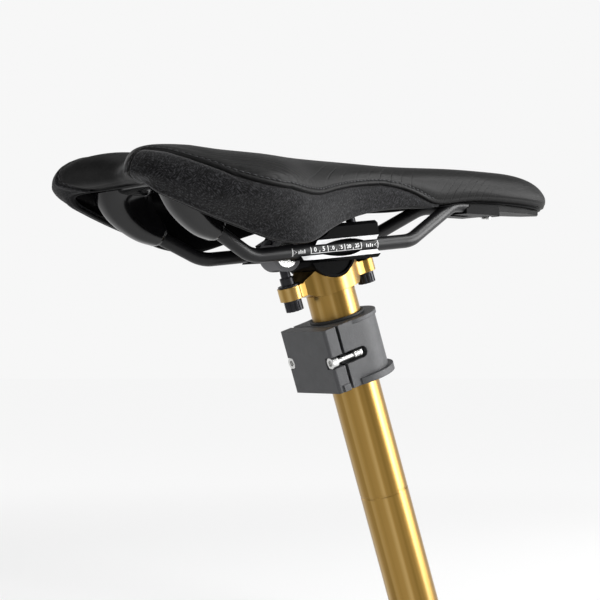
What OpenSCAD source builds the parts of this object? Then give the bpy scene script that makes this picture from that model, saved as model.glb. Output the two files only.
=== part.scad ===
// Bicycle saddle on a two-bolt seatpost head, with a split collar on the post.
// Frame: X towards the nose, Y to the rider's left, Z up. The origin is the middle
// of the length of post that goes into the bicycle, on the post's axis.

/* [Post] */
// Outside diameter of the post
post_d = 25; // [22:0.1:34.9]
// Wall of the post
post_wall = 1.8; // [1:0.1:4]
// How far the post leans back from upright, degrees
post_lean = 18.5; // [10:0.5:25]
// Length of post that goes into the bicycle
insert_len = 70; // [60:1:150]
// Distance from the tilt axis down to the minimum-insertion line
line_drop = 130; // [110:1:300]

/* [Head] */
// Radius of the rocker seat in the head
seat_r = 14.6; // [12:0.1:22]
// Height of the head's underside below the tilt axis
head_drop = 21.5; // [20:0.5:30]
// Radius of the ears that carry the two bolts
ear_r = 6; // [5:0.1:8]
// Top of the ears below the tilt axis
ear_top = 12.4; // [12:0.1:18]
// Underside of the ears below the tilt axis
ear_low = 19; // [17:0.1:25]

/* [Clamp] */
// Rail diameter
rail_d = 7; // [6.5:0.1:8]
// Half the spacing of the rails' centres
rail_y = 22; // [20:0.5:24]
// Nose-up angle of the straight part of the rails at rest, degrees
rail_pitch = 6.5; // [-10:0.5:12]
// Rear end of the clamp plates, along the rails from the tilt axis
plate_back = -29; // [-32:0.5:-24]
// Front end of the clamp plates, along the rails from the tilt axis
plate_front = 17.5; // [15:0.5:30]
// Height of the upper plate above the rails' centres
plate_top = 12; // [8:0.1:16]
// Outer face of the clamp plates, from the middle plane
plate_y = 27.5; // [25:0.5:32]
// Distance of the barrel nuts from the tilt axis, along the rails
nut_x = 24; // [20:0.5:30]
// Height of the front barrel nut above the rails' centres
front_nut_z = 1.5; // [1:0.1:3]
// Height of the rear barrel nut above the rails' centres
rear_nut_z = -1; // [-2:0.1:3]

/* [Saddle] */
// Thickness of the cover and of the side panels
skin = 1.2; // [0.8:0.1:2]
// Depth of the foam at the middle of the seat
foam_depth = 11; // [6:0.5:16]
// Thickness of the base shell
shell_wall = 2.4; // [1.5:0.1:4]
// Depth of the channel down the middle of the tail
valley = 4; // [0:0.5:8]
// How square the shoulders are
shoulder = 2.5; // [2:0.1:4]

/* [Collar] */
// Top of the collar below the tilt axis
collar_top = 36; // [30:0.5:60]
// Height of the collar
collar_h = 32.5; // [20:0.5:50]
// Radius of the collar's round front
collar_r = 19; // [17:0.5:24]

/* [Hidden] */
$fn = 96;
e = 0.01;
post_r = post_d / 2;
rail_r = rail_d / 2;
groove_r = rail_r + 0.05;
pivot_up = line_drop + 25;                  // tilt axis above the origin, which lies 25 below the line
head_lean = post_lean - rail_pitch;         // angle between the post's axis and the clamp's upright
bolt_r = 2.5;
front_bolt_x = 23.7;
rear_bolt_x = -23.55;
bolt_top = 12.5;
bolt_head_r = 4.5;
bolt_head_h = 5.8;
nut_slack = 1.1;
front_nut_r = 4.6;
rear_nut_r = 6.4;
front_boss_r = 6;
rear_boss_r = 8.4;
boss_y = 6.5;
rocker_r = seat_r - 0.06;
flank_r = 22.5;
head_half = 13;
liner_in = post_r + 0.05;
liner_out = post_r + 0.75;
collar_flat = -23.5;
split_x = -14.5;
screw_y = 16.6;
screw_z = -53;
split_gap = 1.8;
slot_h = 5.8;

// ---------- frames ----------

// post frame: Z along the post, origin on the tilt axis
module post_frame() rotate([0, -post_lean, 0]) translate([0, 0, pivot_up]) children();

// the tilt axis, with X level
module pivot_frame()
    translate([-pivot_up * sin(post_lean), 0, pivot_up * cos(post_lean)]) children();

// X along the rails
module rail_frame() pivot_frame() rotate([0, -rail_pitch, 0]) children();

// ---------- small tools ----------

function unit(v) = v / norm(v);
function lerp(a, b, t) = a + (b - a) * t;

// matrix with the given axes and origin
function frame_at(o, ex, ey, ez) = [
    [ex[0], ey[0], ez[0], o[0]],
    [ex[1], ey[1], ez[1], o[1]],
    [ex[2], ey[2], ez[2], o[2]],
    [0, 0, 0, 1]];

// round bar from a to b
module rod(a, b, r) {
    ez = unit(b - a);
    ex = unit(cross(abs(ez[1]) < 0.9 ? [0, 1, 0] : [1, 0, 0], ez));
    multmatrix(frame_at(a, ex, cross(ez, ex), ez)) cylinder(r = r, h = norm(b - a));
}

// round bend of radius R at corner v between the points before and after it
module bend(a, v, b, R, r) {
    da = unit(a - v);
    db = unit(b - v);
    turn = 180 - acos(da * db);
    c = v + unit(da + db) * R / cos(turn / 2);
    ex = unit(v + da * R * tan(turn / 2) - c);
    ez = unit(cross(ex, v + db * R * tan(turn / 2) - c));
    multmatrix(frame_at(c, ex, cross(ez, ex), ez))
        rotate_extrude(angle = turn) translate([R, 0]) circle(r = r);
}

function trim(a, v, b, R) = R * tan((180 - acos(unit(a - v) * unit(b - v))) / 2);

// bar bent through a list of corners, plain at both ends; the straights run a little
// into the bends, which are a hair thicker
module bent_bar(p, R, r, lap = 0.25) {
    n = len(p);
    for (i = [0 : n - 2]) {
        d = unit(p[i + 1] - p[i]);
        a = i == 0 ? p[0] : p[i] + d * (trim(p[i - 1], p[i], p[i + 1], R) - lap);
        b = i == n - 2 ? p[n - 1] : p[i + 1] - d * (trim(p[i], p[i + 1], p[i + 2], R) - lap);
        rod(a, b, r);
    }
    for (i = [1 : n - 2]) bend(p[i - 1], p[i], p[i + 1], R, r + 0.02);
}

// cylinder along Y, centred
module y_pin(r, len) rotate([90, 0, 0]) cylinder(r = r, h = len, center = true);

// profile in X-Z, pushed along Y from y0 to y1
module xz_plate(points, y0, y1)
    translate([0, y1, 0]) rotate([90, 0, 0]) linear_extrude(y1 - y0) polygon(points);

module both_sides() { children(); mirror([0, 1, 0]) children(); }

// ---------- post, head and bolts ----------

module post_tube() color("goldenrod") post_frame() {
    low = line_drop + insert_len;
    difference() {
        translate([0, 0, -low]) cylinder(r = post_r, h = low - head_drop);
        translate([0, 0, -low - e]) cylinder(r = post_r - post_wall, h = low - head_drop + 2 * e);
        // minimum-insertion line
        translate([0, 0, -line_drop]) difference() {
            cylinder(r = post_r + 1, h = 1.2);
            translate([0, 0, -1]) cylinder(r = post_r - 0.25, h = 4);
        }
        // chamfer at the free end
        translate([0, 0, -low - e]) difference() {
            cylinder(r = post_r + 2, h = 1);
            cylinder(r1 = post_r - 1, r2 = post_r, h = 1 + e);
        }
    }
}

module head_side() xz_plate([
    [-31, -ear_top], [-18, -ear_top], [-12.4, -8.2], [12.4, -8.2], [18, -ear_top], [31, -ear_top],
    [31, -ear_low], [17, -ear_low], [12.4, -head_drop], [-12.4, -head_drop], [-17, -ear_low],
    [-31, -ear_low]], -16, 16);

module head_plan() linear_extrude(40, center = true) {
    // bowed flanks: two large circles crossing on the middle plane
    intersection() {
        translate([0, flank_r - head_half]) circle(r = flank_r);
        translate([0, head_half - flank_r]) circle(r = flank_r);
    }
    translate([rear_bolt_x, -5.2]) square([front_bolt_x - rear_bolt_x, 10.4]);
    translate([front_bolt_x, 0]) circle(r = ear_r);
    translate([rear_bolt_x, 0]) circle(r = ear_r);
}

module post_head() color("gold") post_frame() difference() {
    intersection() { head_side(); translate([0, 0, -15]) head_plan(); }
    y_pin(seat_r, 60);
    for (x = [front_bolt_x, rear_bolt_x])
        translate([x, 0, -30]) cylinder(r = bolt_r + 0.3, h = 30);
    // spot faces under the washers
    for (x = [front_bolt_x, rear_bolt_x]) translate([x, 0, -ear_top]) cylinder(r = 5.7, h = 8);
    // weight-saving hollow over the tube
    translate([0, 0, -head_drop - e]) cylinder(r = post_r - post_wall, h = 4);
}

module clamp_bolt() difference() {
    union() {
        translate([0, 0, -ear_low]) cylinder(r = bolt_r, h = ear_low + bolt_top);
        translate([0, 0, -ear_low - bolt_head_h]) cylinder(r = bolt_head_r, h = bolt_head_h);
    }
    // knurl slots round the head, and the hex socket
    for (a = [0 : 30 : 330]) rotate([0, 0, a])
        translate([bolt_head_r + 0.15, 0, -ear_low - bolt_head_h - 1]) cylinder(r = 0.6, h = bolt_head_h, $fn = 24);
    translate([0, 0, -ear_low - bolt_head_h - e]) cylinder(r = 2.3, h = 3.2, $fn = 6);
}

module clamp_bolts() color("dimgray") post_frame()
    for (x = [front_bolt_x, rear_bolt_x]) translate([x, 0, 0]) clamp_bolt();

module front_washer() color("darkslategray") post_frame() translate([front_bolt_x, 0, -ear_top])
    difference() {
        cylinder(r1 = 5, r2 = 4.8, h = 0.6);
        translate([0, 0, -1]) cylinder(r = bolt_r + 0.1, h = 4);
    }

module rear_washer() color("darkslategray") post_frame() translate([rear_bolt_x, 0, -ear_top])
    difference() {
        union() {
            cylinder(r = 5.4, h = 0.8);
            translate([0, 0, 0.8]) cylinder(r = 3.5, h = 3.8);
        }
        translate([0, 0, -1]) cylinder(r = bolt_r + 0.1, h = 6);
    }

// ---------- clamp ----------

// outer walls of the plates: a bright bevel beside the rail, thinner towards the rear
bevel = 2.2;
module upper_wall() intersection() {
    translate([plate_back, 0, 0]) rotate([90, 0, 90]) linear_extrude(plate_front - plate_back)
        polygon([[16, 2.4], [plate_y - bevel, 2.4], [plate_y, 2.4 + bevel], [plate_y, plate_top - 1.6],
                 [plate_y - 1.6, plate_top], [16, plate_top]]);
    xz_plate([[-20, 2], [plate_front, 2], [plate_front, plate_top - 1], [plate_front - 1, plate_top + 1],
              [-9, plate_top + 1], [-14, 7], [-20, 4.4]], 10, 40);
}

module lower_wall() intersection() {
    translate([plate_back, 0, 0]) rotate([90, 0, 90]) linear_extrude(plate_front - plate_back)
        polygon([[16, -2.4], [plate_y - bevel, -2.4], [plate_y, -2.4 - bevel], [plate_y, -6], [plate_y - 0.6, -6.4], [16, -6.4]]);
    xz_plate([[plate_back, -2], [plate_front, -2], [plate_front, -4.9], [plate_front - 1.6, -6.4], [-7, -6.4],
              [-14, -5], [plate_back, -4.3]], 10, 40);
}

// shallow window in the outer wall that shows the scale on the rail; the bevel runs thin over it
module window(x, z) translate([x, 0, z]) rotate([-90, 0, 0]) translate([0, 0, 22]) cylinder(r = window_r, h = 20, $fn = 240);
window_r = 40;
window_edge = 2.4 + bevel - 0.45;

module rail_grooves() for (y = [-rail_y, rail_y])
    translate([plate_back - 5, y, 0]) rotate([0, 90, 0]) cylinder(r = groove_r, h = 60);

// way through a boss for its bolt, which leans back by head_lean
module bolt_way(x, z) translate([x, 0, z]) rotate([0, -head_lean, 0])
    cube([10.4, 2 * (bolt_r + nut_slack), 60], center = true);

module boss(x, z, r, reach) {
    translate([x, 0, z]) y_pin(r, 2 * boss_y);
    xz_plate([[x - sign(x) * r, z], [x, z + r], [reach, 11], [reach, 5]], -boss_y, boss_y);
}

module upper_clamp() color("#16171a") rail_frame() difference() {
    union() {
        both_sides() upper_wall();
        translate([-13, -17, 5]) cube([28, 34, 6]);
        boss(nut_x, front_nut_z, front_boss_r, 12);
        boss(-nut_x, rear_nut_z, rear_boss_r, -12);
    }
    rail_grooves();
    both_sides() window(-2, window_edge - window_r);
    translate([nut_x, 0, front_nut_z]) y_pin(front_nut_r + 0.05, 40);
    translate([-nut_x, 0, rear_nut_z]) y_pin(rear_nut_r + 0.05, 40);
    bolt_way(nut_x, front_nut_z);
    bolt_way(-nut_x, rear_nut_z);
    // the ends of the bolts' ways under the bridge
    translate([0, 0, -17]) y_pin(seat_r + 5, 2 * boss_y + 0.2);
}

module lower_clamp() color("#101114") rail_frame() difference() {
    union() {
        both_sides() lower_wall();
        translate([-12.6, -17, -6.4]) cube([25.2, 34, 4]);
        intersection() {
            y_pin(rocker_r, 24);
            translate([-13.4, -20, -20]) cube([26.8, 40, 17]);
        }
    }
    rail_grooves();
    both_sides() window(-4.5, window_r - window_edge);
    // hollow in the rocker, and the dished faces at its sides
    translate([0, 0, -1.5]) y_pin(7, 17);
    both_sides() translate([1.5, 12, -2]) y_pin(11, 2.4);
}

module barrel_nut(x, z, r) rail_frame() translate([x, 0, z]) difference() {
    y_pin(r, 2 * boss_y - 0.4);
    rotate([0, -head_lean, 0]) cylinder(r = bolt_r + nut_slack, h = 60, center = true);
    for (y = [-1, 1]) translate([0, y * boss_y, 0]) y_pin(1.6, 2.4);
}
module front_barrel_nut() color("silver") barrel_nut(nut_x, front_nut_z, front_nut_r);
module rear_barrel_nut() color("silver") barrel_nut(-nut_x, rear_nut_z, rear_nut_r);

// ---------- rails and the parts that hold them ----------

// corners of the right rail, from its rear end to its front end
rail_path = [[-97, -31, 14.3], [-55.3, -rail_y, -55.3 * tan(rail_pitch)],
             [41, -rail_y, 41 * tan(rail_pitch)], [76.5, -12.8, 25], [102, -9.2, 25.6]];
rail_bend = 18;

module rail() bent_bar(rail_path, rail_bend, rail_r);
module rail_right() color("#202225") pivot_frame() rail();
module rail_left() color("#202225") pivot_frame() mirror([0, 1, 0]) rail();

horn_profile = [[-79.2, -0.2], [-74.4, 9.2], [-82, 12.8], [-88.5, 16.4], [-93.5, 20.8], [-96, 27.5],
                [-110, 27.5], [-108, 18.6], [-103, 11.8], [-96, 6.2], [-88, 2]];

// socket for a rail's rear end, swept back and outwards with it
module horn() difference() {
    translate([-75, -27, 0]) rotate([0, 0, 10]) translate([75, 0, 0]) xz_plate(horn_profile, -6.6, 6.6);
    rod(rail_path[0], rail_path[1], rail_r + 0.02);
}

module rear_bridge() color("#0c0c0e") pivot_frame() {
    both_sides() horn();
    difference() {
        translate([-104, -27, 23.5]) cube([18, 54, 5]);
        translate([-95, 0, 20]) cylinder(r = 6, h = 12);
        both_sides() rod(rail_path[0], rail_path[1], rail_r + 0.02);
    }
}

module nose_bridge() color("#0c0c0e") pivot_frame() difference() {
    union() {
        translate([84.5, -15, 20.8]) cube([22.5, 30, 10]);
        translate([0, 0, 23]) linear_extrude(3.7)
            polygon([[100, -15], [107, -14.4], [130, -11], [142, -7], [147.5, 0], [142, 7], [130, 11],
                     [107, 14.4], [100, 15]]);
    }
    for (s = [-1, 1]) {
        a = [rail_path[3][0], s * rail_path[3][1], rail_path[3][2]];
        b = [rail_path[4][0], s * rail_path[4][1], rail_path[4][2]];
        rod(a, b + unit(b - a) * 0.1, rail_r + 0.02);
    }
    // slot between the two rail sockets
    translate([80, -4, 18]) cube([18, 8, 8]);
    translate([111.2, 0, 20]) cylinder(r = 1.55, h = 6);
}

module nose_clip() color("#141416") pivot_frame() difference() {
    translate([107.2, -5.5, 21.2]) cube([8.4, 11, 1.8]);
    translate([111.2, 0, 19]) cylinder(r = 1.6, h = 6);
}

module nose_screw() color("silver") pivot_frame() translate([111.2, 0, 0]) difference() {
    union() {
        translate([0, 0, 19.9]) cylinder(r = 2.7, h = 1.3);
        translate([0, 0, 21.2]) cylinder(r = 1.5, h = 4.5);
    }
    translate([0, 0, 19.8]) cylinder(r = 1.2, h = 0.9, $fn = 6);
}

// ---------- the soft seat ----------
// The seat is a stack of rings round the saddle. A station is a place on the rim; t runs
// from the spine (0) over the shoulder to the widest line (1) and down the skirt to the hem (2).

// right half, tail notch to nose tip: [rim x, rim y, hem x, hem y, hem z, spine x]
stations = [
    [-115, 0, -111, 0, 25.8, -88], [-118, 10, -112, 9, 25.6, -88], [-124, 21, -115, 20, 25.2, -87],
    [-128.5, 32, -119, 30, 24.5, -86], [-127.5, 43, -121, 37.5, 23, -84], [-120.5, 52.5, -117.5, 42.5, 19.2, -81],
    [-108, 59, -108, 45, 15.4, -77.5], [-92, 65, -95, 46.8, 10.8, -72], [-74, 68, -78, 48.8, 5.4, -64],
    [-57, 64, -60, 51, 0.2, -53], [-38, 53.5, -41, 50.5, -0.2, -38], [-19, 43, -20, 39.4, 7.8, -19],
    [-1.5, 34.6, -1.5, 31.6, 14.2, -1.5], [18, 29, 18, 26.4, 18.8, 18], [38.5, 25.4, 38.5, 22.8, 21.3, 38.5],
    [60, 23, 60, 20.6, 23, 60], [85, 21.2, 85, 19.2, 26.4, 82], [110, 19.3, 110, 17.8, 27, 98],
    [130, 16.4, 129, 15, 26.6, 106], [143.5, 10.4, 142, 9.6, 26, 110], [150.8, 0, 149, 0, 25.6, 111]];
half = 34;                                   // stations on each side, once smoothed
rows = len(stations) - 1;

function at_row(i) = i < 0 ? mirror_row(stations[-i]) : i > rows ? mirror_row(stations[2 * rows - i]) : stations[i];
function mirror_row(r) = [r[0], -r[1], r[2], -r[3], r[4], r[5]];

// smooth curve through the stations
function smooth_row(u) =
    let (i = min(floor(u), rows - 1), f = u - i, a = at_row(i - 1), b = at_row(i), c = at_row(i + 1), d = at_row(i + 2))
    0.5 * (2 * b + (c - a) * f + (2 * a - 5 * b + 4 * c - d) * f * f + (3 * b - a - 3 * c + d) * f * f * f);

rim = [for (k = [0 : half]) smooth_row(k * rows / half)];

// height of the widest line between hem and crown: low round the tail and the nose
function waist(x) = 0.47 - 0.2 * min(max((-62 - x) / 30, 0), 1) - 0.26 * min(max((x - 50) / 65, 0), 1);

// crown height over the plan, lower along the tail's channel
function crown(p) =
    let (x = p[0], y = p[1], back = min(max((-55 - x) / 40, 0), 1))
    43.2 + 1.8 * pow(sin(min(max((x - 20) / 80, 0), 1) * 90), 2) + 1.9 * pow(back, 2)
    - valley * pow(back, 1.5) * exp(-pow(y / 12, 2));

// point on the seat, depth d under its surface; stations past the nose are the left side
function seat(k, t, d) =
    let (right = k <= half, r = rim[right ? k : 2 * half - k],
         out = unit([r[0] - r[5], r[1]]), O = [r[0], r[1]] - out * d, L = [r[2], r[3]] - out * d, C = [r[5], 0],
         top = crown(C), zw = lerp(r[4], top, waist(r[0])),
         a = 90 * min(t, 1), s = max(t - 1, 0),
         p = t <= 1 ? C + (O - C) * pow(sin(a), 2 / shoulder) : O + (L - O) * pow(s, 1.6),
         z = t <= 1 ? zw + (crown(p) - d - zw) * pow(cos(a), 2 / shoulder) : zw - (zw - r[4]) * s)
    [p[0], right ? -p[1] : p[1], z];

// seam height as a t value: on the widest line along the flank, above it over the wing,
// falling to the hem at the tail corner and under the nose
function seam(k) =
    let (r = rim[k <= half ? k : 2 * half - k], x = r[0], y = r[1],
         wing = 0.98 - 0.36 * pow(min(max((-62 - x) / 60, 0), 1), 1.2))
    x < -100 && y < 52 ? 1.94 - (1.94 - wing) * pow(min(max((y - 29) / 20, 0), 1), 0.9)
    : x < 20 ? wing : x > 58 ? 1.94 : 0.98 + 0.96 * pow((x - 20) / 38, 1.7);

ring_n = 2 * half;
t_first = 0.06;

// solid made of closed rings, capped along the spine at both ends
module ring_solid(rings) {
    m = len(rings);
    n = ring_n;
    pts = [for (r = rings) each r];
    walls = [for (j = [0 : m - 2], k = [0 : n - 1]) let (k2 = (k + 1) % n)
        each [[j * n + k, j * n + k2, (j + 1) * n + k2], [j * n + k, (j + 1) * n + k2, (j + 1) * n + k]]];
    cap0 = [for (k = [0 : half - 1]) let (a = k, b = k + 1, c = n - k - 1, d = (n - k) % n)
        each concat(a == d ? [] : [[a, d, b]], b == c ? [] : [[b, d, c]])];
    o = (m - 1) * n;
    cap1 = [for (f = cap0) [o + f[0], o + f[2], o + f[1]]];
    polyhedron(points = pts, faces = concat(walls, cap0, cap1), convexity = 8);
}

// layer of the seat between two depths, each a pair [at the spine, at the hem end]
function depth(d, t) = t <= 1 ? lerp(d[0], d[1], pow(t, 2)) : lerp(d[1], d[2], t - 1);
function ring_of(ends, f, d) = [for (k = [0 : ring_n - 1])
    let (t = lerp(t_first, ends[k], f)) seat(k, t, depth(d, t))];

module layer(ends, outer, inner, steps) {
    fs = [for (j = [0 : steps]) j / steps];
    ring_solid(concat([for (f = fs) ring_of(ends, f, outer)],
                      [for (j = [steps : -1 : 0]) ring_of(ends, j / steps, inner)]));
}

module top_cover() color("#1b1b1d") pivot_frame()
    layer([for (k = [0 : ring_n - 1]) seam(k)], [0, 0, 0], [skin, skin, skin], 11);

module foam_pad() color("#3a3a3c") pivot_frame()
    layer([for (k = [0 : ring_n - 1]) 1.9], [skin + 0.9, skin + 0.9, skin + 0.8],
          [foam_depth - 0.5, 5.6, skin + 1.5], 11);

module base_shell() color("#0e0e10") pivot_frame()
    layer([for (k = [0 : ring_n - 1]) 1.985], [foam_depth + 0.1, 6.3, skin + 2.1],
          [foam_depth + 0.1 + shell_wall, 6.3 + shell_wall, skin + 2.1 + shell_wall], 9);

// side panel from the tail corner to its tip under the nose
panel_from = 6;
panel_to = 25;
panel_rows = 6;

module side_panel() {
    n = panel_to - panel_from;
    w = panel_rows + 1;
    grid = [for (d = [0, skin], k = [panel_from : panel_to], j = [0 : panel_rows])
        let (a = min(seam(k) + 0.025, 1.965)) seat(k, lerp(a, 1.999, j / panel_rows), d)];
    o = (n + 1) * w;
    function q(a, b, c, d) = [[a, b, c], [a, c, d]];
    faces = concat(
        [for (i = [0 : n - 1], j = [0 : panel_rows - 1]) let (a = i * w + j)
            each concat(q(a, a + w, a + w + 1, a + 1), q(o + a, o + a + 1, o + a + w + 1, o + a + w))],
        [for (i = [0 : n - 1]) let (a = i * w, b = i * w + panel_rows)
            each concat(q(a, o + a, o + a + w, a + w), q(b, b + w, o + b + w, o + b))],
        [for (j = [0 : panel_rows - 1]) let (b = n * w + j)
            each concat(q(j, j + 1, o + j + 1, o + j), q(b, o + b, o + b + 1, b + 1))]);
    polyhedron(points = grid, faces = faces, convexity = 6);
}
module side_panel_right() color("#3c3d40") pivot_frame() side_panel();
module side_panel_left() color("#3c3d40") pivot_frame() mirror([0, 1, 0]) side_panel();

// ---------- collar ----------

// outline of the collar across the post: round front, flat sides and back
module collar_plan(r) {
    circle(r = r);
    translate([collar_flat, -collar_r]) square([-collar_flat, 2 * collar_r]);
}

module collar_block() {
    translate([0, 0, -collar_top - collar_h]) linear_extrude(collar_h) collar_plan(collar_r);
    // foot flange and top lip round the front
    for (part = [[-collar_top - collar_h, 3.4, collar_r + 2.6], [-collar_top - 2, 2, collar_r + 0.8]])
        translate([0, 0, part[0]]) intersection() {
            cylinder(r = part[2], h = part[1]);
            translate([-9, -30, -1]) cube([60, 60, 10]);
        }
}

module collar_bore() translate([0, 0, -collar_top - collar_h - 1]) cylinder(r = liner_out + 0.02, h = collar_h + 2);

module screw_lines(r, x0, x1) for (y = [-screw_y, screw_y])
    translate([x0, y, screw_z]) rotate([0, 90, 0]) cylinder(r = r, h = x1 - x0);

// open slot along a screw, from x0 to a round end at x1, reaching y_in from the middle plane
module side_slot(x0, x1, y_in) both_sides() translate([0, y_in, screw_z]) rotate([-90, 0, 0]) {
    translate([x0, -slot_h / 2, 0]) cube([x1 - slot_h / 2 - x0, slot_h, 12]);
    translate([x1 - slot_h / 2, 0, 0]) cylinder(r = slot_h / 2, h = 12);
}

module collar_yoke() color("#2a2b2d") post_frame() difference() {
    intersection() {
        collar_block();
        translate([split_x, -30, -100]) cube([60, 60, 80]);
    }
    collar_bore();
    screw_lines(1.75, split_x - 1, -6);
    side_slot(split_x - 5, -1, screw_y - 2.6);
}

module collar_cap() color("#2a2b2d") post_frame() difference() {
    intersection() {
        union() {
            translate([0, 0, -collar_top - collar_h]) linear_extrude(collar_h) difference() {
                collar_plan(collar_r);
                // rounded rear corners
                both_sides() translate([collar_flat, collar_r]) difference() {
                    square(3, center = true);
                    translate([1.5, -1.5]) circle(r = 1.5);
                }
            }
            // foot under the split
            translate([split_x - 6, -collar_r - 0.7, -collar_top - collar_h]) cube([4, 2 * collar_r + 1.4, 3.4]);
        }
        translate([collar_flat - 1, -30, -100]) cube([split_x - split_gap - collar_flat + 1, 60, 80]);
    }
    collar_bore();
    screw_lines(1.75, collar_flat - 1, split_x + 1);
    screw_lines(3.1, collar_flat - 1, collar_flat + 4.4);
    side_slot(collar_flat - 1, split_x + 8, screw_y - 2.6);
}

module collar_liner() color("#121212") post_frame()
    translate([0, 0, -collar_top - collar_h + 0.4]) difference() {
        union() {
            cylinder(r = liner_out, h = collar_h - 0.2);
            translate([0, 0, collar_h - 0.2]) cylinder(r = liner_out + 0.8, h = 1.2);
        }
        translate([0, 0, -1]) cylinder(r = liner_in, h = collar_h + 4);
    }

module collar_screws() color("silver") post_frame() {
    difference() {
        union() {
            screw_lines(2.9, collar_flat + 0.5, collar_flat + 3.9);
            screw_lines(1.5, collar_flat + 3.9, -5);
        }
        for (y = [-screw_y, screw_y]) translate([collar_flat + 0.4, y, screw_z])
            rotate([0, 90, 0]) cylinder(r = 1.6, h = 1.8, $fn = 6);
    }
}

// round nut at the end of each screw, with two grooves
module collar_nuts() color("silver") post_frame() for (y = [-screw_y, screw_y])
    translate([-8.6, y, screw_z]) rotate([0, 90, 0]) difference() {
        cylinder(r = 2.3, h = 4.8);
        translate([0, 0, -1]) cylinder(r = 1.52, h = 8);
        for (z = [1.2, 2.8]) translate([0, 0, z]) difference() {
            cylinder(r = 3, h = 0.7);
            translate([0, 0, -1]) cylinder(r = 1.95, h = 3);
        }
    }

// ---------- show ----------

post_tube();
post_head();
clamp_bolts();
front_washer();
rear_washer();
upper_clamp();
lower_clamp();
front_barrel_nut();
rear_barrel_nut();
rail_right();
rail_left();
rear_bridge();
nose_bridge();
nose_clip();
nose_screw();
base_shell();
foam_pad();
side_panel_right();
side_panel_left();
top_cover();
collar_yoke();
collar_cap();
collar_liner();
collar_screws();
collar_nuts();
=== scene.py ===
import math

import bmesh
import bpy
import numpy as np
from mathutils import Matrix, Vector


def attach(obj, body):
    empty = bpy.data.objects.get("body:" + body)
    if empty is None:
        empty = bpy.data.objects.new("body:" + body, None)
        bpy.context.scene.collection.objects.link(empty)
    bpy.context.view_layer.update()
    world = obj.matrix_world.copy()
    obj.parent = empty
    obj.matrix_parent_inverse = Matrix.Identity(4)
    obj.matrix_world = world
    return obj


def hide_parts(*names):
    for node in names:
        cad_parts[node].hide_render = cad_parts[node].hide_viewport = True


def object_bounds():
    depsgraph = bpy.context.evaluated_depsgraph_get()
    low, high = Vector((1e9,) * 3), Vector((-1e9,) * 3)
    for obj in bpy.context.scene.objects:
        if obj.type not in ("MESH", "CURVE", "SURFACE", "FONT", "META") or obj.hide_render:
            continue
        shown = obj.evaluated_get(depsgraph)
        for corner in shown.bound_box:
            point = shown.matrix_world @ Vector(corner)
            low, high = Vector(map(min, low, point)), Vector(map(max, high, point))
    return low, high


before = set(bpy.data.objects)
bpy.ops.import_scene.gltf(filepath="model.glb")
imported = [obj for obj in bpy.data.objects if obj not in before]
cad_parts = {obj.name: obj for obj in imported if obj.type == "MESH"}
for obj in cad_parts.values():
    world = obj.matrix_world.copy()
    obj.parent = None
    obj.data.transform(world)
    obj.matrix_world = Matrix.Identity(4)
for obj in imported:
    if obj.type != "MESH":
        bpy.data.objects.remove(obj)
CAD_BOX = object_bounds()
MM = 0.001

# The tilt axis is PIVOT, which is PIVOT_UP millimetres up the leaning post from the part's origin.
POST_LEAN = math.radians(18.5)
RAIL_PITCH = math.radians(6.5)
PIVOT_UP = 155
PIVOT = Vector((-PIVOT_UP * math.sin(POST_LEAN), 0, PIVOT_UP * math.cos(POST_LEAN))) * MM
RAIL_Y, RAIL_R = 22.0, 3.5
MIRROR = np.array([1, -1, 1])

# Main view: the camera's place, the way it looks, and its focal length and sensor in millimetres.
CAMERA_PLACE, CAMERA_WAY = (-0.5652, -0.7205, 0.0951), (0.5733, 0.8188, 0.0297)
FOCAL, SENSOR = 105.9, 36
# Level way of the main view, and the backdrop's brightness facing the other way and facing that way.
AHEAD = (0.573, 0.819, 0)
BACKDROP = (0.5, 0.93)
FLOOR_RADIUS, FLOOR_GAP = 9, 0.004
MIDDLE = (-0.03, 0, 0.15)
# name, place, size, power in watts, what it points at
LIGHTS = [
    ("overhead", (0.15, 0.25, 1.3), (1.0, 0.6), 3, MIDDLE),
    ("box_front", (1.15, -0.80, 0.34), (1.2, 0.8), 26, MIDDLE),
    ("box_nose", (0.84, -0.52, 1.06), (0.8, 0.5), 12, (0.06, 0, 0.18)),
    ("box_right", (-0.05, -1.25, 0.65), (0.4, 0.25), 5, MIDDLE),
    ("strip_rear", (-1.5, -0.35, 0.5), (0.35, 1.1), 6, MIDDLE),
    ("fill_left", (-0.5, 1.4, 0.7), (1.0, 0.8), 4, MIDDLE)]
BLACK = (0.003, 0.003, 0.0033)


# ---------- camera, lights and floor ----------

def make_camera():
    data = bpy.data.cameras.new("camera")
    data.lens, data.sensor_width = FOCAL, SENSOR
    data.clip_end = 50
    cam = bpy.data.objects.new("camera", data)
    bpy.context.scene.collection.objects.link(cam)
    cam.location = CAMERA_PLACE
    cam.rotation_euler = Vector(CAMERA_WAY).to_track_quat("-Z", "Y").to_euler()
    bpy.context.scene.camera = cam


def area_light(name, place, size, power, aim):
    data = bpy.data.lights.new(name, "AREA")
    data.shape, data.size, data.size_y, data.energy = "RECTANGLE", size[0], size[1], power
    lamp = bpy.data.objects.new(name, data)
    lamp.location = place
    lamp.rotation_euler = (Vector(aim) - Vector(place)).to_track_quat("-Z", "Y").to_euler()
    bpy.context.scene.collection.objects.link(lamp)


def make_studio():
    for light in LIGHTS:
        area_light(*light)
    make_world()
    bpy.context.scene.view_settings.view_transform = "Standard"


def backdrop(n, way, less=0.0):
    """Brightness along a direction, from BACKDROP[0] behind the main view to BACKDROP[1] ahead of it."""
    ahead = n.node("VectorMath", {0: way, 1: AHEAD}, operation="DOT_PRODUCT").outputs["Value"]
    return n.map_range(ahead, -0.5, 0.6, BACKDROP[0] - less, BACKDROP[1] - less)


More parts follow.
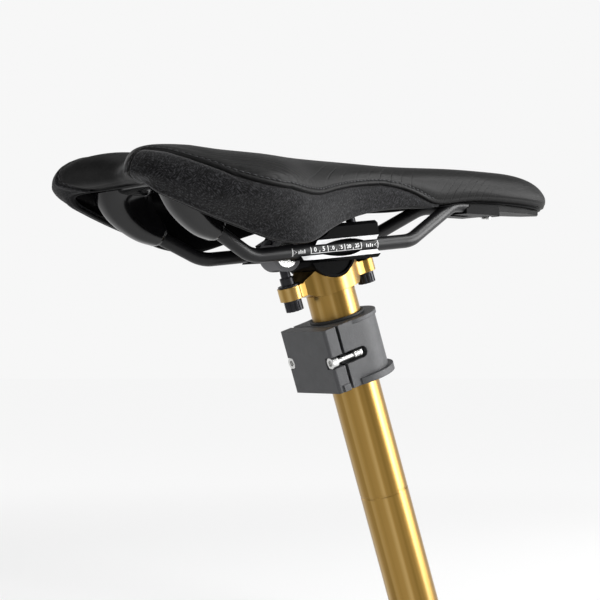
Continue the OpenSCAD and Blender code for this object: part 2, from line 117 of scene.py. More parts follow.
def make_world():
    """Pale at the horizon ahead of the main view and mid grey behind it, and dark overhead."""
    world = bpy.context.scene.world or bpy.data.worlds.new("studio")
    bpy.context.scene.world = world
    world.use_nodes = True
    world.node_tree.nodes.clear()
    n = Nodes(world.node_tree)
    way = n.node("TexCoord").outputs["Generated"]
    rise = n.map_range(n.xyz(way)["Z"], 0.22, 0.6, 1.0, 0.12)
    level = n.math("MULTIPLY", backdrop(n, way), rise)
    back = n.node("Background", {"Color": level, "Strength": 1.0})
    n.node("OutputWorld", {0: back.outputs[0]})


def make_floor():
    """Pale paper: lit by the lamps near the object, taking on the backdrop's brightness further out."""
    bm = bmesh.new()
    bmesh.ops.create_circle(bm, cap_ends=True, segments=96, radius=FLOOR_RADIUS)
    mesh = bpy.data.meshes.new("floor")
    bm.to_mesh(mesh)
    bm.free()
    floor = bpy.data.objects.new("floor", mesh)
    floor.location.z = CAD_BOX[0][2] - FLOOR_GAP
    bpy.context.scene.collection.objects.link(floor)
    m = Mat("floor_paper").shader((0.5, 0.5, 0.5), rough=0.95, spec=0.0)
    place = m.place(1.0)
    away = m.node("VectorMath", {0: place}, operation="LENGTH").outputs["Value"]
    way = m.node("VectorMath", {0: place}, operation="NORMALIZE").outputs[0]
    far = backdrop(m, way, 0.02)
    out = m.map_range(away, 0.15, 1.1, interpolation_type="SMOOTHSTEP")
    m.link(m.math("MULTIPLY_ADD", out, -0.46, 0.5), "Base Color")
    m.link(m.math("MULTIPLY_ADD", out, m.math("SUBTRACT", far, 0.38), 0.38), "Emission Strength")
    m.bsdf.inputs["Emission Color"].default_value = (1, 1, 1, 1)
    floor.data.materials.append(m.mat)


# ---------- node helpers ----------

class Nodes:
    """Adds nodes to a tree, one at a time."""

    def __init__(self, tree):
        self.nt = tree

    def node(self, kind, values=None, **props):
        n = self.nt.nodes.new("ShaderNode" + kind)
        for k, v in props.items():
            setattr(n, k, v)
        for k, v in (values or {}).items():
            if isinstance(v, bpy.types.NodeSocket):
                self.nt.links.new(v, n.inputs[k])
            else:
                n.inputs[k].default_value = v
        return n

    def math(self, op, a, b=0.0, c=0.0):
        return self.node("Math", {0: a, 1: b, 2: c}, operation=op).outputs[0]

    def xyz(self, vector):
        return self.node("SeparateXYZ", {0: vector}).outputs

    def map_range(self, value, low, high, start=0.0, end=1.0, **props):
        """Goes from start to end while value goes from low to high."""
        return self.node("MapRange", {"Value": value, "From Min": low, "From Max": high,
                                      "To Min": start, "To Max": end}, **props).outputs[0]


class Mat(Nodes):
    """A node material."""

    def __init__(self, name):
        self.mat = bpy.data.materials.new(name)
        self.mat.use_nodes = True
        super().__init__(self.mat.node_tree)
        self.bsdf = self.nt.nodes["Principled BSDF"]
        self._place = None

    def shader(self, color, rough, metal=0.0, spec=0.5, coat=0.0, coat_rough=0.1, sheen=0.0):
        b = self.bsdf.inputs
        b["Base Color"].default_value = (*color, 1)
        b["Roughness"].default_value = rough
        b["Metallic"].default_value = metal
        b["Specular IOR Level"].default_value = spec
        b["Coat Weight"].default_value = coat
        b["Coat Roughness"].default_value = coat_rough
        b["Sheen Weight"].default_value = sheen
        return self

    def link(self, socket, name):
        self.nt.links.new(socket, self.bsdf.inputs[name])

    def place(self, scale=1 / MM):
        """Position fixed to the object, in millimetres unless another scale is given."""
        if self._place is None:
            coord = self.node("TexCoord")
            self._place = self.node("VectorMath", {0: coord.outputs["Object"], "Scale": scale},
                                    operation="SCALE").outputs[0]
        return self._place

    def from_pivot(self):
        """x, y and z in millimetres from the tilt axis."""
        x, y, z = self.xyz(self.place())
        return self.math("SUBTRACT", x, PIVOT.x / MM), y, self.math("SUBTRACT", z, PIVOT.z / MM)

    def turned(self, x, z, angle):
        """x and z in axes turned by angle in the X-Z plane."""
        c, s = math.cos(angle), math.sin(angle)
        return (self.math("MULTIPLY_ADD", x, c, self.math("MULTIPLY", z, s)),
                self.math("MULTIPLY_ADD", x, -s, self.math("MULTIPLY", z, c)))

    def noise(self, scale, detail=3.0, rough=0.55, stretch=(1, 1, 1)):
        v = self.place()
        if stretch != (1, 1, 1):
            v = self.node("VectorMath", {0: v, 1: stretch}, operation="MULTIPLY").outputs[0]
        return self.node("TexNoise", {"Vector": v, "Scale": scale, "Detail": detail,
                                      "Roughness": rough}).outputs["Fac"]

    def voronoi(self, scale, feature="F1"):
        n = self.node("TexVoronoi", {"Vector": self.place(), "Scale": scale}, feature=feature)
        return n.outputs["Distance"]

    def ramp(self, fac, stops):
        n = self.node("ValToRGB", {"Fac": fac})
        e = n.color_ramp.elements
        while len(e) < len(stops):
            e.new(0.5)
        for el, (pos, col) in zip(e, stops):
            el.position = pos
            el.color = (*col, 1) if isinstance(col, tuple) else (col, col, col, 1)
        return n.outputs["Color"]

    def mix(self, fac, a, b):
        """Colour a where fac is 0 and b where it is 1. Sockets of other types have the same names."""
        n = self.node("Mix", {"Factor": fac}, data_type="RGBA")
        for s in n.inputs:
            value = {"A": a, "B": b}.get(s.name) if s.type == "RGBA" else None
            if isinstance(value, bpy.types.NodeSocket):
                self.nt.links.new(value, s)
            elif value is not None:
                s.default_value = value
        return [s for s in n.outputs if s.type == "RGBA"][0]

    def bump(self, height, depth_mm, strength=1.0, edge_mm=0.0):
        """Bump from a height of 0 to 1; edge_mm also rounds the sharp edges of a machined piece."""
        values = {"Height": height, "Strength": strength, "Distance": depth_mm * MM}
        if edge_mm:
            values["Normal"] = self.node("Bevel", {"Radius": edge_mm * MM}, samples=6).outputs[0]
        self.link(self.node("Bump", values).outputs[0], "Normal")
        return self

    def vary_rough(self, fac, low, high):
        self.link(self.map_range(fac, 0.0, 1.0, low, high), "Roughness")
        return self


# ---------- materials ----------

def smooth_lines(m, value, spacing, width):
    """Soft grooves of the given width wherever value passes a multiple of spacing."""
    frac = m.math("FRACT", m.math("DIVIDE", value, spacing))
    away = m.math("ABSOLUTE", m.math("SUBTRACT", frac, 0.5))
    return m.map_range(away, 0.0, width / spacing, 1.0, 0.0, interpolation_type="SMOOTHSTEP")


def band(m, value, low, high, soft):
    """1 between low and high, fading over soft."""
    up, down = m.map_range(value, low, low + soft), m.map_range(value, high - soft, high, 1.0, 0.0)
    return m.math("MULTIPLY", up, down)


def cover_material():
    """Fine-grained black with embossed lines: chevrons along the middle, long lines over the wings."""
    m = Mat("cover_leather").shader((0.008, 0.008, 0.0085), 0.44, spec=0.13)
    x, y, z = m.from_pivot()
    y = m.math("ABSOLUTE", y)
    wob = m.math("MULTIPLY", m.noise(0.012, 1), 5.0)
    lean = m.math("MULTIPLY_ADD", y, 1.15, m.math("ADD", x, wob))
    chevron = m.math("MULTIPLY", smooth_lines(m, lean, 6.2, 0.6), band(m, x, -62, 52, 24))
    nose = smooth_lines(m, m.math("MULTIPLY_ADD", z, -0.75, lean), 4.6, 0.45)
    nose = m.math("MULTIPLY", m.math("MULTIPLY", nose, band(m, x, 52, 104, 16)), 0.8)
    uneven = m.ramp(m.noise(0.05, 1), [(0.35, 0.5), (0.6, 1.0)])
    chevron = m.math("MULTIPLY", m.math("ADD", chevron, nose), uneven)
    slant = m.math("MULTIPLY_ADD", x, -0.16, m.math("MULTIPLY_ADD", wob, 0.5, y))
    long_lines = smooth_lines(m, slant, 2.9, 0.6)
    lines = m.math("MAXIMUM", chevron, m.math("MULTIPLY", long_lines, band(m, x, -112, -30, 26)))
    grain = m.math("MULTIPLY", m.voronoi(1.35, "SMOOTH_F1"), 0.28)
    fine = m.noise(3.5, 4, 0.7)
    height = m.math("SUBTRACT", m.math("MULTIPLY_ADD", fine, 0.14, grain), lines)
    m.bump(height, 0.28, 0.6)
    m.link(m.ramp(m.noise(0.6, 5, 0.7), [(0.3, 0.005), (0.7, 0.010)]), "Base Color")
    m.vary_rough(fine, 0.42, 0.56)
    return m.mat


def dashes(m, tilt):
    """Short floats of yarn, slanted in the plane of the panel: 0.6 mm wide and 1.8 mm long."""
    x, y, z = m.xyz(m.place())
    along, across = m.turned(x, z, tilt)
    v = m.node("CombineXYZ", {0: m.math("MULTIPLY", along, 0.5), 1: m.math("MULTIPLY", y, 0.8),
                              2: m.math("MULTIPLY", across, 2.3)}).outputs[0]
    return m.node("TexNoise", {"Vector": v, "Scale": 1.25, "Detail": 1.2, "Roughness": 0.5}).outputs["Fac"]


def panel_material():
    m = Mat("side_fabric").shader((0.02, 0.02, 0.022), 0.86, spec=0.12, sheen=0.12)
    m.bsdf.inputs["Sheen Roughness"].default_value = 0.4
    zone = m.map_range(m.noise(0.16, 1), 0.46, 0.54)
    one, two = dashes(m, math.radians(48)), dashes(m, math.radians(-38))
    twill = m.math("MULTIPLY_ADD", m.math("SUBTRACT", two, one), zone, one)
    m.link(m.ramp(twill, [(0.38, (0.002, 0.002, 0.0022)), (0.52, (0.008, 0.008, 0.0088)),
                          (0.68, (0.034, 0.034, 0.0365))]), "Base Color")
    m.bump(twill, 0.35, 0.7)
    return m.mat


def plain_material(name, color, rough, metal=0.0, grain=0.8, depth=0.05, spread=0.08, edge=0.3, **kw):
    """Machined, moulded or painted surface with its grain and small changes of roughness."""
    m = Mat(name).shader(color, rough, metal, **kw)
    m.bump(m.noise(grain, 4, 0.6), depth, 0.6, edge)
    m.vary_rough(m.noise(0.12, 3), max(rough - spread, 0.02), rough + spread)
    dark = tuple(c * 0.82 for c in color)
    m.link(m.ramp(m.noise(0.25, 5, 0.65), [(0.35, dark), (0.7, color)]), "Base Color")
    return m


def gold_material():
    """Anodised and drawn along the post, with a fine drawn grain in the bump; its long, straight light and
    dark reflection streaks are painted into the base colour.
    """
    m = Mat("gold_anodised").shader((0.52, 0.30, 0.06), 0.2, metal=1.0)
    x, y, z = m.xyz(m.place())
    across, along = m.turned(x, z, POST_LEAN)

    def streaks(scale, pull):
        v = m.node("CombineXYZ", {0: across, 1: y, 2: m.math("MULTIPLY", along, pull)}).outputs[0]
        return m.node("TexNoise", {"Vector": v, "Scale": scale, "Detail": 2.0}).outputs["Fac"]

    # The broad streaks take the base colour from dark to bright gold along the post: painted reflections
    # of the lamps and backdrop. They also vary the roughness a little.
    painted_reflection_streaks, fine = streaks(0.16, 0.004), streaks(1.4, 0.006)
    m.link(m.ramp(painted_reflection_streaks, [(0.35, (0.22, 0.13, 0.03)), (0.5, (0.33, 0.2, 0.055)),
                          (0.65, (0.5, 0.34, 0.13))]), "Base Color")
    m.bump(fine, 0.004, 0.25, 0.4)
    m.vary_rough(painted_reflection_streaks, 0.25, 0.34)
    return m.mat


# On the clamp, in millimetres from the tilt axis: the bright bevels lie less than BEVEL_HEIGHT from
# the rails' middle and beyond BEVEL_Y; the grey rear boss lies behind BOSS_X and inside BOSS_Y.
BEVEL_HEIGHT, BEVEL_Y = 5.2, 25.35
BOSS_X, BOSS_Y = -17.0, 8.0
SLOPING = 0.3        # a bevel's normal has more than this both upwards and sideways


def clamp_material():
    """Gloss black, with the machined bevels beside the rails left bright and a grey rear boss."""
    m = Mat("clamp_black").shader(BLACK, 0.13, spec=0.012)
    x, y, z = m.from_pivot()
    y = m.math("ABSOLUTE", y)
    nx, ny, nz = m.xyz(m.node("NewGeometry").outputs["True Normal"])
    up = m.turned(nx, nz, RAIL_PITCH)[1]
    tall = m.math("GREATER_THAN", m.math("ABSOLUTE", up), SLOPING)
    side = m.math("GREATER_THAN", m.math("ABSOLUTE", ny), SLOPING)
    along, height = m.turned(x, z, RAIL_PITCH)
    near = m.math("LESS_THAN", m.math("ABSOLUTE", height), BEVEL_HEIGHT)
    out = m.math("GREATER_THAN", y, BEVEL_Y)
    mask = m.math("MULTIPLY", m.math("MULTIPLY", tall, side), m.math("MULTIPLY", near, out))
    boss = m.math("MULTIPLY", m.math("LESS_THAN", along, BOSS_X), m.math("LESS_THAN", y, BOSS_Y))
    streak = m.noise(1.2, 3, 0.6, stretch=(0.15, 2, 2))
    bright = m.ramp(streak, [(0.3, (0.72, 0.72, 0.73)), (0.7, (0.92, 0.92, 0.93))])
    dark = m.mix(boss, (*BLACK, 1), (0.13, 0.13, 0.135, 1))
    m.link(m.mix(mask, dark, bright), "Base Color")
    m.link(m.math("MULTIPLY", mask, 0.3), "Metallic")
    m.bump(m.noise(1.5, 3), 0.015, 0.4, 0.25)
    m.vary_rough(m.math("MAXIMUM", mask, boss), 0.13, 0.42)
    return m.mat


def dress(node, material):
    """Gives a carried-over CAD node its material."""
    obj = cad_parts[node]
    if not obj.material_slots:
        obj.data.materials.append(material)
    for s in obj.material_slots:
        s.link = "OBJECT"
        s.material = material


# ---------- mesh helpers ----------

def add_piece(name, verts, faces, material, body, replaces=(), smooth=True):
    mesh = bpy.data.meshes.new(name)
    mesh.from_pydata([tuple(v) for v in verts], [], [tuple(f) for f in faces])
    bm = bmesh.new()
    bm.from_mesh(mesh)
    bmesh.ops.remove_doubles(bm, verts=bm.verts, dist=2e-6)
    bmesh.ops.recalc_face_normals(bm, faces=bm.faces)
    bm.to_mesh(mesh)
    bm.free()
    if smooth:
        mesh.polygons.foreach_set("use_smooth", [True] * len(mesh.polygons))
    mesh.materials.append(material)
    obj = bpy.data.objects.new(name, mesh)
    bpy.context.scene.collection.objects.link(obj)
    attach(obj, body)
    if replaces:
        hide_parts(*replaces)
    return obj


def at_pivot(p):
    """Millimetres from the tilt axis to metres in the part's frame."""
    return np.asarray(p, float) * MM + np.array(PIVOT)


def on_rail(p):
    """Millimetres in the clamp's frame, X along the rails, to metres in the part's frame."""
    p = np.asarray(p, float)
    c, s = math.cos(RAIL_PITCH), math.sin(RAIL_PITCH)
    q = np.stack([p[..., 0] * c - p[..., 2] * s, p[..., 1], p[..., 0] * s + p[..., 2] * c], -1)
    return at_pivot(q)


def joined(parts):
    """The points and the faces of several meshes as one mesh."""
    verts, faces = [], []
    for v, f in parts:
        faces += [tuple(i + len(verts) for i in g) for g in f]
        verts += list(v)
    return np.array(verts), faces


def on_side(verts, side):
    """Points made for the right-hand side, mirrored for the left."""
    return verts * MIRROR if side == "left" else verts


def hill(x, middle, width):
    """A smooth hill, 1 at its middle."""
    return np.exp(-(((x - middle) / width) ** 2))


def grid_faces(rows, cols, wrap_rows=False):
    faces = []
    for i in range(rows if wrap_rows else rows - 1):
        a, b = i * cols, ((i + 1) % rows) * cols
        faces += [(a + j, b + j, b + j + 1, a + j + 1) for j in range(cols - 1)]
    return faces


def tube_faces(rows, cols):
    """Faces of a closed tube: rows rings of cols points each, and its two ends."""
    faces = [(i * cols + j, i * cols + (j + 1) % cols, (i + 1) * cols + (j + 1) % cols, (i + 1) * cols + j)
             for i in range(rows - 1) for j in range(cols)]
    return faces + [tuple(range(cols)), tuple((rows - 1) * cols + j for j in reversed(range(cols)))]


# ---------- the seat's surface, close to the CAD's ----------

# right half, tail notch to nose tip: rim x, rim y, hem x, hem y, hem z, spine x
STATIONS = np.array([
    [-115, 0, -111, 0, 25.8, -88], [-118, 10, -112, 9, 25.6, -88],
    [-124, 21, -115, 20, 25.2, -87], [-128.5, 32, -119, 30, 24.5, -86],
    [-127.5, 43, -121, 37.5, 23, -84], [-120.5, 52.5, -117.5, 42.5, 19.2, -81],
    [-108, 59, -108, 45, 15.4, -77.5], [-92, 65, -95, 46.8, 10.8, -72],
    [-74, 68, -78, 48.8, 5.4, -64], [-57, 64, -60, 51, 0.2, -53],
    [-38, 53.5, -41, 50.5, -0.2, -38], [-19, 43, -20, 39.4, 7.8, -19],
    [-1.5, 34.6, -1.5, 31.6, 14.2, -1.5], [18, 29, 18, 26.4, 18.8, 18],
    [38.5, 25.4, 38.5, 22.8, 21.3, 38.5], [60, 23, 60, 20.6, 23, 60],
    [85, 21.2, 85, 19.2, 26.4, 82], [110, 19.3, 110, 17.8, 27, 98],
    [130, 16.4, 129, 15, 26.6, 106], [143.5, 10.4, 142, 9.6, 26, 110],
    [150.8, 0, 149, 0, 25.6, 111]])
SHOULDER, VALLEY = 2.5, 4.0
HALF = 170


def smooth_curve(before, rows, after, count):
    """Smooth curve through the rows; before and after set its direction at the ends."""
    rows = np.vstack([before, rows, after])
    u = np.linspace(0, len(rows) - 3, count + 1)
    i = np.minimum(u.astype(int), len(rows) - 4)
    f = (u - i)[:, None]
    a, b, c, d = rows[i], rows[i + 1], rows[i + 2], rows[i + 3]
    return 0.5 * (2 * b + (c - a) * f + (2 * a - 5 * b + 4 * c - d) * f**2
                  + (3 * b - a - 3 * c + d) * f**3)


OTHER_SIDE = np.array([1, -1, 1, -1, 1, 1])
RIM = smooth_curve(STATIONS[1] * OTHER_SIDE, STATIONS, STATIONS[-2] * OTHER_SIDE, HALF)


def waist(x):
    """Height of the widest line between hem and crown, low round the tail and the nose."""
    return 0.47 - 0.2 * np.clip((-62 - x) / 30, 0, 1) - 0.26 * np.clip((x - 50) / 65, 0, 1)


def crown(x, y):
    """Height of the top, a little higher at the nose and the tail, with a valley between the wings."""
    back = np.clip((-55 - x) / 40, 0, 1)
    front = np.clip((x - 20) / 80, 0, 1)
    return (43.2 + 1.8 * np.sin(front * math.pi / 2) ** 2 + 1.9 * back**2
            - VALLEY * back**1.5 * hill(y, 0, 12))


def seat(k, t, d=0.0):
    """Points of the seat for station numbers k (0 to 2*HALF), d millimetres below its surface.

    The place t is 0 on the spine, 1 at the widest line and 2 at the hem."""
    k, t, d = np.broadcast_arrays(np.asarray(k), np.asarray(t, float), np.asarray(d, float))
    right = k <= HALF
    r = RIM[np.where(right, k, 2 * HALF - k) % (HALF + 1)]
    out = np.stack([r[..., 0] - r[..., 5], r[..., 1]], -1)
    out /= np.linalg.norm(out, axis=-1, keepdims=True)
    rim, hem = r[..., 0:2] - out * d[..., None], r[..., 2:4] - out * d[..., None]
    mid = np.stack([r[..., 5], 0 * r[..., 5]], -1)
    top = crown(mid[..., 0], mid[..., 1])
    wide = r[..., 4] + (top - r[..., 4]) * waist(r[..., 0])
    a = np.clip(t, 0, 1) * math.pi / 2
    square = 2 / (SHOULDER - 0.3 * np.clip((r[..., 0] - 60) / 70, 0, 1))
    s = np.clip(t - 1, 0, 1)
    p_top = mid + (rim - mid) * np.sin(a)[..., None] ** square[..., None]
    z_top = wide + (crown(p_top[..., 0], p_top[..., 1]) - d - wide) * np.clip(np.cos(a), 0, 1) ** square
    p_low = rim + (hem - rim) * s[..., None] ** 1.6
    z_low = wide - (wide - r[..., 4]) * s
    upper = (t <= 1)
    p = np.where(upper[..., None], p_top, p_low)
    z = np.where(upper, z_top, z_low)
    return np.stack([p[..., 0], np.where(right, -p[..., 1], p[..., 1]), z], -1)


SEAM_LOW = 1.94      # the seam's place where there is no fabric: just above the hem


def seam(k):
    """Place t of the seam: high along the wings, down to the hem round the tail and the nose."""
    r = RIM[np.where(k <= HALF, k, 2 * HALF - k)]
    x, y = r[..., 0], r[..., 1]
    wing = 0.98 - 0.38 * np.clip((-62 - x) / 60, 0, 1) ** 1.6
    tail = SEAM_LOW - (SEAM_LOW - wing) * np.clip((y - 26) / 13, 0, 1) ** 0.9
    nose = np.where(x > 58, SEAM_LOW, 0.98 + 0.96 * np.clip((x - 20) / 38, 0, 1) ** 1.7)
    return np.where((x < -100) & (y < 52), tail, np.where(x < 20, wing, nose))


def blurred(values, width):
    """Running mean round the saddle, so the seam has no corners."""
    kernel = np.hanning(2 * width + 3)[1:-1]
    kernel /= kernel.sum()
    padded = np.concatenate([values[-width:], values, values[:width]])
    return np.convolve(padded, kernel, "valid")[:len(values)]


RING = np.arange(2 * HALF)
SEAM = blurred(seam(RING), 3)


def normals(grid, wrap):
    """Unit normals of a grid of points, pointing out of the seat."""
    if wrap:
        along = np.roll(grid, -1, 0) - np.roll(grid, 1, 0)
    else:
        along = np.gradient(grid, axis=0)
    across = np.gradient(grid, axis=1)
    n = np.cross(across, along)
    size = np.linalg.norm(n, axis=-1, keepdims=True)
    n = n / np.maximum(size, 1e-9)
    centre = np.array([-20.0, 0, 22])
    flip = np.sign(np.sum(n * (grid - centre), -1, keepdims=True))
    return n * np.where(flip == 0, 1, flip)


def distance_from_end(grid):
    """Length along each row from its last column."""
    step = np.linalg.norm(np.diff(grid, axis=1), axis=-1)
    return np.concatenate([np.cumsum(step[:, ::-1], 1)[:, ::-1], np.zeros((len(grid), 1))], 1)


def lump(p, size, seed):
    """Smooth, repeatable unevenness of about -1 to 1."""
    rng = np.random.default_rng(seed)
    total = 0
    for _ in range(7):
        d = rng.normal(size=3)
        d /= np.linalg.norm(d)
        total = total + np.sin(p @ d * (2 * math.pi / size) * rng.uniform(0.7, 1.5) + rng.uniform(0, 6.3))
    return total / 3.5


# ---------- soft pieces ----------

STITCH_IN = 2.8      # the stitches' distance from the cover's edge
STITCH_EVERY = 3.1
UNDER_EDGE = 0.004   # how far past the seam, as a place t, the hidden edges of cover and panel start
COVER_STEPS, PANEL_STEPS, BASE_STEPS = 90, 40, 44


def cover_grid():
    """The cover's surface, with its points crowded towards the seam."""
    f = 1 - (1 - np.linspace(0, 1, COVER_STEPS)) ** 1.6
    return seat(RING[:, None], SEAM[:, None] * f[None, :])


def make_cover(material):
    """Top cover: a crowned pad with a stitched groove and a bead along its edge, which rolls under."""
    grid = cover_grid()
    n = normals(grid, True)
    n[:, 0] = (0, 0, 1)
    away = distance_from_end(grid)
    bead = 0.42 * hill(away, 1.3, 0.8) - 0.3 * hill(away, STITCH_IN, 0.5)
    swell = 0.4 * hill(away, 6, 3) - 1.3 * hill(away, 0, 0.55)
    puff = 0.16 * lump(grid, 38, 3) * np.clip(away / 12, 0, 1)
    sewn = np.clip((1.9 - SEAM) / 0.5, 0.2, 1)[:, None]
    grid = grid + n * (bead * sewn + swell + puff)[..., None]
    under = [seat(RING[:, None], (SEAM + UNDER_EDGE)[:, None], d) for d in (1.7, 2.6)]
    grid = np.concatenate([grid] + under, 1)
    obj = add_piece("cover_top", at_pivot(grid.reshape(-1, 3)), grid_faces(len(RING), grid.shape[1], True),
                    material, "saddle", ("top_cover", "foam_pad"))


def make_panel(side, material):
    """Woven side panel, tucked in at the seam and turned in under the hem."""
    first = np.argmax(SEAM[:HALF] < 1.9)
    last = HALF - np.argmax(SEAM[HALF::-1] < 1.93)
    ks = np.arange(first, last + 1)
    f = np.linspace(0, 1, PANEL_STEPS)
    a = SEAM[ks] + UNDER_EDGE
    t = a[:, None] + (2.0 - a[:, None]) * f[None, :]
    grid = seat(ks[:, None], t)
    n = normals(grid, False)
    away = distance_from_end(grid)
    top = away[:, :1] - away
    tuck = -1.15 * hill(top, 0, 1.1) + 0.35 * hill(top, 4, 4)
    pucker = 0.22 * lump(grid, 13, 11) * hill(top, 0, 9)
    pucker = pucker + 0.3 * lump(grid, 46, 5) * np.clip(away / 6, 0, 1)
    hem = 0.45 * hill(away, 1.4, 1.5)
    grid = grid + n * (tuck + pucker * np.clip(top / 3, 0, 1) + hem)[..., None]
    turned = [seat(ks[:, None], 2.0, d) + np.array([0, 0, z])
              for d, z in ((0.8, -0.2), (2.2, -0.2), (3.6, 0.4), (3.8, 1.6))]
    grid = on_side(np.concatenate([grid] + turned, 1), side)
    obj = add_piece("panel_" + side, at_pivot(grid.reshape(-1, 3)), grid_faces(len(ks), grid.shape[1]),
                    material, "saddle", ("side_panel_" + side,))


def make_base(material):
    """Base shell under the seat, with a rounded rim inside the hem."""
    path = [(2.0, 0.9, 0.0), (2.0, 1.5, -0.45), (2.0, 2.4, -0.6), (2.0, 3.4, -0.4), (2.0, 4.0, 0.3)]
    rows = [seat(RING[:, None], t, d) + np.array([0, 0, z]) for t, d, z in path]
    for f in np.linspace(0, 1, BASE_STEPS)[1:]:
        rows.append(seat(RING[:, None], max(2.0 * (1 - f), 0.0), 4.0 + (13.5 - 4.0) * (f ** 0.8)))
    grid = np.concatenate(rows, 1)
    add_piece("base_shell_skin", at_pivot(grid.reshape(-1, 3)), grid_faces(len(RING), grid.shape[1], True),
              material, "saddle", ("base_shell",))


def stitch(p, along, up, length=2.3, r=0.26):
    """One stitch: a short bowed thread lying on the surface."""
    side = np.cross(up, along)
    verts, ring, steps = [], 6, 5
    for i in range(steps):
        f = i / (steps - 1)
        c = p + along * (f - 0.5) * length + up * (0.25 * math.sin(math.pi * f) - 0.12)
        rr = r * (0.55 + 0.45 * math.sin(math.pi * f))
        for j in range(ring):
            a = 2 * math.pi * j / ring
            verts.append(c + (side * math.cos(a) + up * math.sin(a)) * rr)
    return verts, tube_faces(steps, ring)


def make_stitches(side, material):
    """A row of stitches in the groove above the seam, from the tail corner to the nose."""
    first = np.argmax(SEAM[:HALF] < 1.8)
    last = HALF - np.argmax(SEAM[HALF::-1] < 1.9)
    grid = cover_grid()[first:last + 1]
    away = distance_from_end(grid)
    col = np.argmin(np.abs(away - STITCH_IN), 1)
    pick = np.arange(len(grid))
    line = grid[pick, col]
    step = np.linalg.norm(np.diff(line, axis=0), axis=1)
    where = np.concatenate([[0], np.cumsum(step)])
    ups = normals(grid, False)[pick, col]
    stitches = []
    for s in np.arange(2, where[-1] - 2, STITCH_EVERY):
        p = np.array([np.interp(s, where, line[:, i]) for i in range(3)])
        q = np.array([np.interp(s + 0.5, where, line[:, i]) for i in range(3)])
        up = np.array([np.interp(s, where, ups[:, i]) for i in range(3)])
        up /= np.linalg.norm(up)
        along = (q - p) / np.linalg.norm(q - p)
        stitches.append(stitch(p + up * 0.1, along, up))
    verts, faces = joined(stitches)
    add_piece("seam_stitches_" + side, at_pivot(on_side(verts, side)), faces, material, "saddle")


# ---------- rear bridge ----------

# Sections of a horn from the rail's exit up to the shell, from the tilt axis:
# lower edge x, z, upper edge x, z, middle y, half width.
HORN = np.array([
    [-79.4, -0.2, -74.6, 9.2, -26.3, 6], [-88, 2, -78, 14, -27.2, 6.4], [-96, 6.2, -80, 19, -28.3, 7],
    [-103, 11.8, -81, 23.5, -29.3, 8], [-108, 18.6, -82, 27, -30, 9.6], [-110.6, 25, -83, 30, -30.4, 12]])


def rounded(count, power):
    """A rounded rectangle between -1 and 1, as a power curve."""
    a = np.linspace(0, 2 * math.pi, count, endpoint=False)
    c, s = np.cos(a), np.sin(a)
    return np.sign(c) * np.abs(c) ** (2 / power), np.sign(s) * np.abs(s) ** (2 / power)


def horn_mesh():
    """Socket for the right rail, with a rounded lip and a recessed face where the rail comes out."""
    rows = smooth_curve(2 * HORN[0] - HORN[1], HORN, 2 * HORN[-1] - HORN[-2], 48)
    along = np.array([0.880, 0.190, -0.435])      # the way out of the socket
    u, v = rounded(48, 2.7)
    lip = ((0.62, -1.6), (0.8, -1.5), (0.86, -0.4), (0.92, 0.0), (0.97, -0.25))
    rings = [(rows[0], size, push) for size, push in lip]
    rings += [(row, 1.0, -0.8 if i == 0 else 0.0) for i, row in enumerate(rows)]
    verts = []
    for row, size, push in rings:
        low, high = np.array([row[0], row[4], row[1]]), np.array([row[2], row[4], row[3]])
        mid, half = (low + high) / 2, (high - low) / 2
        ring = mid + u[:, None] * half * size + v[:, None] * np.array([0, row[5], 0]) * size + along * push
        verts.append(ring)
    return np.concatenate(verts), tube_faces(len(rings), len(u))


def crossbar_mesh():
    """Bar between the two horns, under the shell."""
    u, v = rounded(32, 3.2)
    reach = 27
    ys = np.linspace(-reach, reach, 25)
    rings = [np.stack([-95 + 9.2 * u, 0 * u + y,
                       26.0 + 1.6 * math.cos(y / reach * math.pi / 2) + 3.0 * v], 1) for y in ys]
    return np.concatenate(rings), tube_faces(len(ys), len(u))


def make_rear_bridge(material):
    verts, faces = horn_mesh()
    verts, faces = joined([(verts, faces), (verts * MIRROR, faces), crossbar_mesh()])
    add_piece("rear_bridge_skin", at_pivot(verts), faces, material, "saddle",
              ("rear_bridge",))


# ---------- the scale printed on the rails ----------

def text_mesh(body, size):
    """Flat mesh of a short text, centred on its middle, in millimetres."""
    curve = bpy.data.curves.new("figure", "FONT")
    curve.body, curve.size, curve.align_x, curve.align_y = body, size, "CENTER", "CENTER"
    curve.resolution_u = 3
    curve.offset = 0.07
    obj = bpy.data.objects.new("figure", curve)
    bpy.context.scene.collection.objects.link(obj)
    bpy.context.view_layer.update()
    mesh = obj.evaluated_get(bpy.context.evaluated_depsgraph_get()).to_mesh()
    verts = np.array([v.co[:] for v in mesh.vertices])
    faces = [tuple(p.vertices) for p in mesh.polygons]
    bpy.data.objects.remove(obj)
    bpy.data.curves.remove(curve)
    return verts, faces


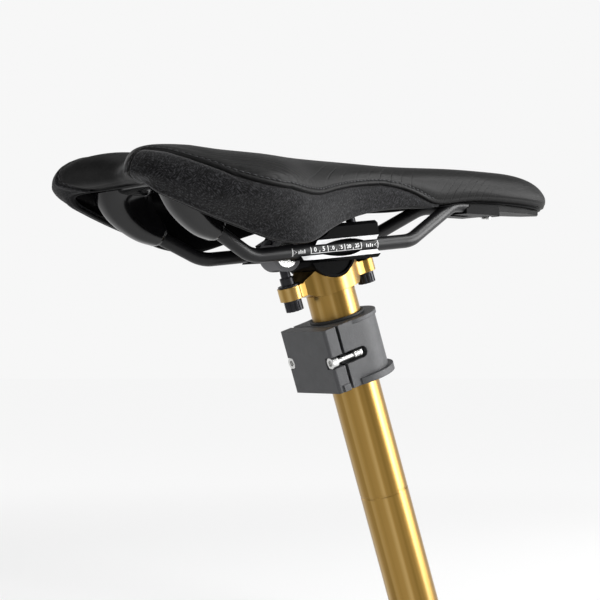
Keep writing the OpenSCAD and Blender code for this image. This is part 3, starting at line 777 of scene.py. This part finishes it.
def scale_marks():
    """Flat outlines of the scale in rail coordinates: x along the rail, y round it."""
    shapes = []

    def bar(x, y0, y1, w=0.35):
        ys = np.linspace(y0, y1, 7)
        v = [(x + dx, y, 0) for y in ys for dx in (-w / 2, w / 2)]
        shapes.append((np.array(v), [(2 * i, 2 * i + 1, 2 * i + 3, 2 * i + 2) for i in range(6)]))

    zero, step, fields = -22.7, 5.1, 6
    end = zero + fields * step
    for i in range(fields):
        x = zero + i * step
        bar(x - 0.2, -1.6, 1.9 if i % 2 == 0 else -0.3, 0.4)
        v, f = text_mesh(str(5 * i), 2.7 if i > 1 else 3.1)
        shapes.append((v + np.array([x + 2.3, 0.35, 0]), f))
    bar(end - 0.2, -1.6, 1.9, 0.4)
    v = [(zero - 0.2, -1.6, 0), (end, -1.6, 0), (end, -1.3, 0), (zero - 0.2, -1.3, 0)]
    shapes.append((np.array(v), [(0, 1, 2, 3)]))
    for x, s in ((-33.8, 1), (end + 10.1, -1)):
        bar(x, -1.9, 1.9, 0.45)
        arrow = [(x + s * 0.6, -1.1, 0), (x + s * 2.4, 0, 0), (x + s * 0.6, 1.1, 0)]
        shapes.append((np.array(arrow), [(0, 1, 2)]))
        for i in range(4):
            bar(x + s * (3.6 + 1.15 * i), -0.9, 0.9 if i % 2 else 0.4, 0.5)
    return shapes


def make_scale(side, material):
    """The scale as a thin print on the outside of a rail; on the left it reads from the other end."""
    v, faces = joined(scale_marks())
    if side == "left":
        v = v * np.array([-1, 1, 1]) + np.array([-7.5, 0, 0])
        faces = [tuple(reversed(f)) for f in faces]
    r = RAIL_R + 0.035
    a = v[:, 1] / r - 0.05
    flat = np.stack([v[:, 0], RAIL_Y + r * np.cos(a), r * np.sin(a)], 1)
    if side == "right":
        flat = flat * MIRROR
    obj = add_piece("rail_scale_" + side, on_rail(flat), faces, material, "saddle",
                    smooth=False)
    thick = obj.modifiers.new("ink", "SOLIDIFY")
    thick.thickness, thick.offset = 0.03 * MM, 0


# ---------- put together ----------

def dress_hardware():
    """Materials for the carried-over nodes; returns the two that mesh pieces use too."""
    gold = gold_material()
    steel_dark = plain_material("black_steel", (0.035, 0.035, 0.038), 0.36, metal=1.0,
                                grain=2.0, depth=0.03).mat
    steel = plain_material("bright_steel", (0.72, 0.72, 0.71), 0.24, metal=1.0, grain=3.0, depth=0.02).mat
    clamp = clamp_material()
    rail = plain_material("rail_black", (0.007, 0.007, 0.0078), 0.38, grain=1.6, depth=0.03,
                          spec=0.3, edge=0).mat
    moulding = plain_material("moulding", BLACK, 0.42, grain=1.2, depth=0.05, spec=0.06).mat
    gloss = plain_material("gloss_moulding", (0.004, 0.004, 0.0045), 0.12, grain=0.2, depth=0.02,
                           spread=0.02, edge=0, spec=0.5).mat
    coat = plain_material("collar_coat", (0.05, 0.051, 0.054), 0.46, grain=2.4, depth=0.3,
                          edge=0.6, spec=0.4).mat
    liner = plain_material("liner_black", (0.010, 0.010, 0.010), 0.6).mat
    table = {"post_tube": gold, "post_head": gold, "clamp_bolts": steel_dark, "front_washer": steel_dark,
             "rear_washer": steel_dark, "upper_clamp": clamp, "lower_clamp": clamp,
             "front_barrel_nut": steel, "rear_barrel_nut": steel, "rail_right": rail, "rail_left": rail,
             "nose_bridge": moulding, "nose_clip": moulding, "nose_screw": steel, "collar_yoke": coat,
             "collar_cap": coat, "collar_liner": liner, "collar_screws": steel, "collar_nuts": steel}
    for node, material in table.items():
        dress(node, material)
    return moulding, gloss


def main():
    make_camera()
    make_studio()
    make_floor()
    moulding, gloss = dress_hardware()
    make_rear_bridge(gloss)
    make_cover(cover_material())
    fabric = panel_material()
    thread = plain_material("thread_dark", (0.03, 0.03, 0.033), 0.7, edge=0).mat
    ink = plain_material("scale_white", (0.75, 0.75, 0.75), 0.5, edge=0).mat
    for side in ("right", "left"):
        make_panel(side, fabric)
        make_stitches(side, thread)
        make_scale(side, ink)
    make_base(moulding)
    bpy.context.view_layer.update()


main()
